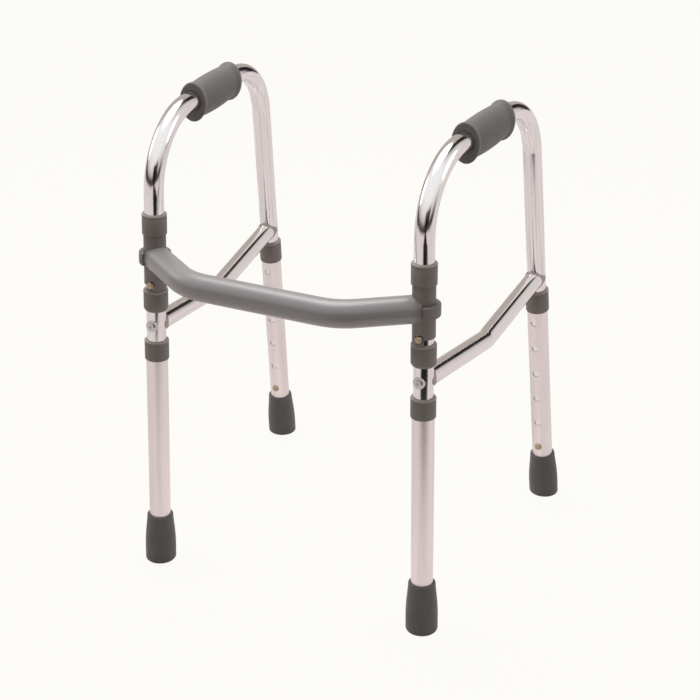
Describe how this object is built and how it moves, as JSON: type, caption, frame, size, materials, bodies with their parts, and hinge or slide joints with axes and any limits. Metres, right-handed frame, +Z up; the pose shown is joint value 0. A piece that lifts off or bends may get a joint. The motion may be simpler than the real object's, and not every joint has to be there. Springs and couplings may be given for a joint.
{
  "type": "walking frame",
  "caption": "Folding walking frame: bent tube sides with rubber grips, hinged on a bowed crossbar, with braces and sliding push-button legs on rubber tips.",
  "frame": {"origin": "on the floor, at the middle of the part's box", "axes": "+Z up; the front, with the bowed crossbar, faces -Y; the user stands on the +Y side; left and right as seen from the front, so left is -X"},
  "size_m": [0.4822, 0.4941, 0.6498],
  "materials": {
    "bright_tube": "polished, bright",
    "satin_tube": "satin, anodised",
    "coated_bar": "satin grey coat",
    "grey_plastic": "moulded, fine-grained",
    "grip_rubber": "matte, moulded",
    "tip_rubber": "matte, moulded",
    "cast_pad": "die-cast, dull",
    "steel": "plated",
    "brass": "worn satin"
  },
  "bodies": {
    "crossbar_frame": {"crossbar": "coated_bar", "hinge_sleeve_left": "grey_plastic", "hinge_band_left": "grey_plastic", "hinge_sleeve_right": "grey_plastic", "hinge_band_right": "grey_plastic"},
    "side_frame_left": {"side_tube_left": "bright_tube", "grip_left": "grip_rubber", "upper_collar_left": "grey_plastic", "middle_collar_left": "grey_plastic", "side_brace_left": "bright_tube", "brace_pad_front_left": "cast_pad", "brace_pad_rear_left": "cast_pad", "brace_plug_front_left": "grey_plastic", "brace_plug_rear_left": "grey_plastic", "brace_screws_left": "steel", "brace_washers_left": "steel"},
    "fold_button_left": {"fold_button_left": "brass"},
    "leg_front_left": {"leg_tube_front_left": "satin_tube", "leg_collar_front_left": "grey_plastic", "rubber_tip_front_left": "tip_rubber", "tip_washer_front_left": "steel"},
    "leg_button_front_left": {"leg_button_front_left": "brass"},
    "leg_rear_left": {"leg_tube_rear_left": "satin_tube", "leg_collar_rear_left": "grey_plastic", "rubber_tip_rear_left": "tip_rubber", "tip_washer_rear_left": "steel"},
    "leg_button_rear_left": {"leg_button_rear_left": "brass"},
    "side_frame_right": {"side_tube_right": "bright_tube", "grip_right": "grip_rubber", "upper_collar_right": "grey_plastic", "middle_collar_right": "grey_plastic", "side_brace_right": "bright_tube", "brace_pad_front_right": "cast_pad", "brace_pad_rear_right": "cast_pad", "brace_plug_front_right": "grey_plastic", "brace_plug_rear_right": "grey_plastic", "brace_screws_right": "steel", "brace_washers_right": "steel"},
    "fold_button_right": {"fold_button_right": "brass"},
    "leg_front_right": {"leg_tube_front_right": "satin_tube", "leg_collar_front_right": "grey_plastic", "rubber_tip_front_right": "tip_rubber", "tip_washer_front_right": "steel"},
    "leg_button_front_right": {"leg_button_front_right": "brass"},
    "leg_rear_right": {"leg_tube_rear_right": "satin_tube", "leg_collar_rear_right": "grey_plastic", "rubber_tip_rear_right": "tip_rubber", "tip_washer_rear_right": "steel"},
    "leg_button_rear_right": {"leg_button_rear_right": "brass"}
  },
  "joints": [
    {"name": "fold_left", "type": "hinge", "parent": "crossbar_frame", "child": "side_frame_left", "pos_m": [-0.198, -0.1776, 0], "axis": [0.0223, 0.0222, 0.9995], "range_deg": [-80, 0]},
    {"name": "press_fold_button_left", "type": "slide", "parent": "side_frame_left", "child": "fold_button_left", "axis": [-0.0554, 0.9982, -0.0209], "range_m": [0, 0.0048], "stiffness_N_per_m": 1500, "springref_m": -0.002, "deforming": ["fold_button_left"]},
    {"name": "extend_leg_front_left", "type": "slide", "parent": "side_frame_left", "child": "leg_front_left", "axis": [-0.0223, -0.0222, -0.9995], "range_m": [0, 0.21]},
    {"name": "press_leg_button_front_left", "type": "slide", "parent": "side_frame_left", "child": "leg_button_front_left", "axis": [0.0554, -0.9982, 0.0209], "range_m": [0, 0.0045], "stiffness_N_per_m": 1500, "springref_m": -0.002, "deforming": ["leg_button_front_left"]},
    {"name": "extend_leg_rear_left", "type": "slide", "parent": "side_frame_left", "child": "leg_rear_left", "axis": [-0.0309, 0.1372, -0.9901], "range_m": [0, 0.21]},
    {"name": "press_leg_button_rear_left", "type": "slide", "parent": "side_frame_left", "child": "leg_button_rear_left", "axis": [-0.0512, 0.989, 0.1387], "range_m": [0, 0.0045], "stiffness_N_per_m": 1500, "springref_m": -0.002, "deforming": ["leg_button_rear_left"]},
    {"name": "fold_right", "type": "hinge", "parent": "crossbar_frame", "child": "side_frame_right", "pos_m": [0.198, -0.1776, 0], "axis": [-0.0223, 0.0222, 0.9995], "range_deg": [0, 80]},
    {"name": "press_fold_button_right", "type": "slide", "parent": "side_frame_right", "child": "fold_button_right", "axis": [0.0554, 0.9982, -0.0209], "range_m": [0, 0.0048], "stiffness_N_per_m": 1500, "springref_m": -0.002, "deforming": ["fold_button_right"]},
    {"name": "extend_leg_front_right", "type": "slide", "parent": "side_frame_right", "child": "leg_front_right", "axis": [0.0223, -0.0222, -0.9995], "range_m": [0, 0.21]},
    {"name": "press_leg_button_front_right", "type": "slide", "parent": "side_frame_right", "child": "leg_button_front_right", "axis": [-0.0554, -0.9982, 0.0209], "range_m": [0, 0.0045], "stiffness_N_per_m": 1500, "springref_m": -0.002, "deforming": ["leg_button_front_right"]},
    {"name": "extend_leg_rear_right", "type": "slide", "parent": "side_frame_right", "child": "leg_rear_right", "axis": [0.0309, 0.1372, -0.9901], "range_m": [0, 0.21]},
    {"name": "press_leg_button_rear_right", "type": "slide", "parent": "side_frame_right", "child": "leg_button_rear_right", "axis": [0.0512, 0.989, 0.1387], "range_m": [0, 0.0045], "stiffness_N_per_m": 1500, "springref_m": -0.002, "deforming": ["leg_button_rear_right"]}
  ]
}
